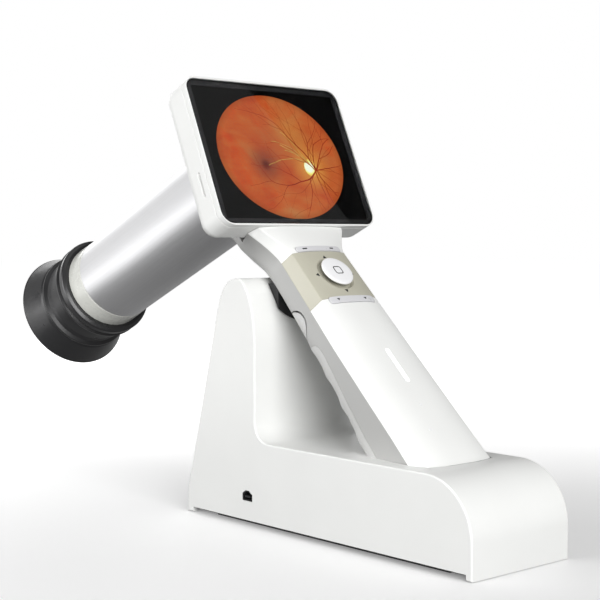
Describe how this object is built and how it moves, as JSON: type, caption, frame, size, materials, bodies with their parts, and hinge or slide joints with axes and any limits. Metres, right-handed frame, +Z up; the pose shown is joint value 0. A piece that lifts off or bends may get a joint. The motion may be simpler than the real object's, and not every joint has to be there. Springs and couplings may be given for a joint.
{
  "type": "ophthalmoscope",
  "caption": "Handheld digital ophthalmoscope: tilted screen head, aluminium optical barrel with rubber eyecup and angled handle, standing in a tower-shaped charging dock.",
  "frame": {"origin": "middle of the dock's underside, on the surface it stands on", "axes": "+X towards the dock's low toe, +Y towards the side without the charging port, +Z up"},
  "size_m": [0.3612, 0.099, 0.2157],
  "materials": {
    "white_shell": "satin moulded ABS",
    "white_gloss": "polished white",
    "beige_panel": "fine matte texture",
    "key_strip": "satin",
    "cream_ring": "satin",
    "black_rubber": "semi-gloss moulded rubber",
    "black_plastic": "semi-gloss",
    "barrel_metal": "satin anodised",
    "steel": "machined",
    "gold_contact": "gold plated",
    "circuit_board": "solder mask",
    "cover_glass": "polished",
    "display": "display panel",
    "lens_glass": "coated optical glass",
    "light_bar": "translucent",
    "battery": "shrink sleeve"
  },
  "bodies": {
    "dock": {"dock_shell": "white_shell", "dock_base_plate": "black_plastic", "anti_slip_mat": "black_rubber", "ballast_plate": "steel", "dock_screws": "steel", "cradle_pad": "black_rubber", "charging_board": "circuit_board", "charge_port": "black_plastic", "contact_carrier": "black_plastic"},
    "pin_left": {"charge_pin_left": "gold_contact"},
    "pin_right": {"charge_pin_right": "gold_contact"},
    "handset": {"neck_cover": "white_shell", "keypad_bezel": "beige_panel", "front_shell": "white_shell", "rear_shell": "white_shell", "grip_insert": "white_shell", "end_cap": "black_plastic", "contact_pads": "gold_contact", "light_guide": "light_bar", "indicator_lenses": "key_strip", "handle_screws": "steel", "handle_board": "circuit_board", "keypad_board": "circuit_board", "battery_pack": "battery", "neck_bracket": "steel", "nav_switch": "black_plastic", "trigger_switch": "black_plastic", "trigger_spring": "steel", "screen_bezel": "white_shell", "head_shell": "white_shell", "cover_glass": "cover_glass", "display_panel": "display", "head_board": "circuit_board", "card_socket": "steel", "barrel_tube": "barrel_metal", "barrel_screws": "steel", "nose_ring": "cream_ring", "objective_lens": "lens_glass", "lens_retainer": "black_plastic", "adapter_ring": "black_plastic", "illumination_board": "circuit_board", "relay_mount": "black_plastic", "relay_lens": "lens_glass", "guide_rods": "steel", "focus_motor": "steel", "rear_plate": "black_plastic", "image_sensor_board": "circuit_board"},
    "upper_key": {"upper_key": "key_strip"},
    "lower_key": {"lower_key": "key_strip"},
    "nav_stem": {"nav_stem": "steel"},
    "nav_gimbal": {"nav_gimbal": "black_plastic"},
    "nav_disc": {"nav_disc": "white_gloss"},
    "trigger": {"trigger": "white_shell"},
    "memory_card": {"memory_card": "black_plastic"},
    "eyecup": {"rubber_eyecup": "black_rubber"},
    "focus_carriage": {"focus_carriage": "black_plastic", "focus_lens": "lens_glass"},
    "lead_screw": {"lead_screw": "steel"}
  },
  "joints": [
    {"name": "handset_lift", "type": "slide", "parent": "dock", "child": "handset", "axis": [-0.5446, 0, 0.8387], "range_m": [0, 0.15]},
    {"name": "charge_pin_left_press", "type": "slide", "parent": "dock", "child": "pin_left", "axis": [0, 0, -1], "range_m": [0, 0.001], "stiffness_N_per_m": 400, "springref_m": -0.001},
    {"name": "charge_pin_right_press", "type": "slide", "parent": "dock", "child": "pin_right", "axis": [0, 0, -1], "range_m": [0, 0.001], "stiffness_N_per_m": 400, "springref_m": -0.001},
    {"name": "upper_key_rock", "type": "hinge", "parent": "handset", "child": "upper_key", "pos_m": [-0.03258, 0, 0.13106], "axis": [0.7145, 0, -0.6997], "range_deg": [-1.5, 1.5], "stiffness_Nm_per_rad": 0.5},
    {"name": "lower_key_rock", "type": "hinge", "parent": "handset", "child": "lower_key", "pos_m": [-0.00879, 0, 0.10777], "axis": [0.7145, 0, -0.6997], "range_deg": [-1.5, 1.5], "stiffness_Nm_per_rad": 0.5},
    {"name": "nav_press", "type": "slide", "parent": "handset", "child": "nav_stem", "axis": [-0.6997, 0, -0.7145], "range_m": [0, 0.0003], "stiffness_N_per_m": 800},
    {"name": "nav_tilt_side", "type": "hinge", "parent": "nav_stem", "child": "nav_gimbal", "pos_m": [-0.01988, 0, 0.12003], "axis": [0.7145, 0, -0.6997], "range_deg": [-2.5, 2.5], "stiffness_Nm_per_rad": 0.3},
    {"name": "nav_tilt_length", "type": "hinge", "parent": "nav_gimbal", "child": "nav_disc", "pos_m": [-0.01988, 0, 0.12003], "axis": [0, 1, 0], "range_deg": [-2.5, 2.5], "stiffness_Nm_per_rad": 0.3},
    {"name": "trigger_pull", "type": "slide", "parent": "handset", "child": "trigger", "axis": [0.6997, 0, 0.7145], "range_m": [0, 0.0008], "stiffness_N_per_m": 900},
    {"name": "memory_card_eject", "type": "slide", "parent": "handset", "child": "memory_card", "axis": [0, -1, 0], "range_m": [0, 0.013]},
    {"name": "eyecup_pull_off", "type": "slide", "parent": "handset", "child": "eyecup", "axis": [-0.9135, 0, -0.4067], "range_m": [0, 0.03]},
    {"name": "focus_travel", "type": "slide", "parent": "handset", "child": "focus_carriage", "axis": [-0.9135, 0, -0.4067], "range_m": [-0.008, 0.008]},
    {"name": "focus_screw_turn", "type": "hinge", "parent": "handset", "child": "lead_screw", "pos_m": [-0.12434, 0, 0.13347], "axis": [-0.9135, 0, -0.4067], "range_deg": [-2900, 2900]}
  ],
  "couplings": [
    {"joint": "focus_screw_turn", "follows": "focus_travel", "rad_per_m": 6283.2}
  ]
}
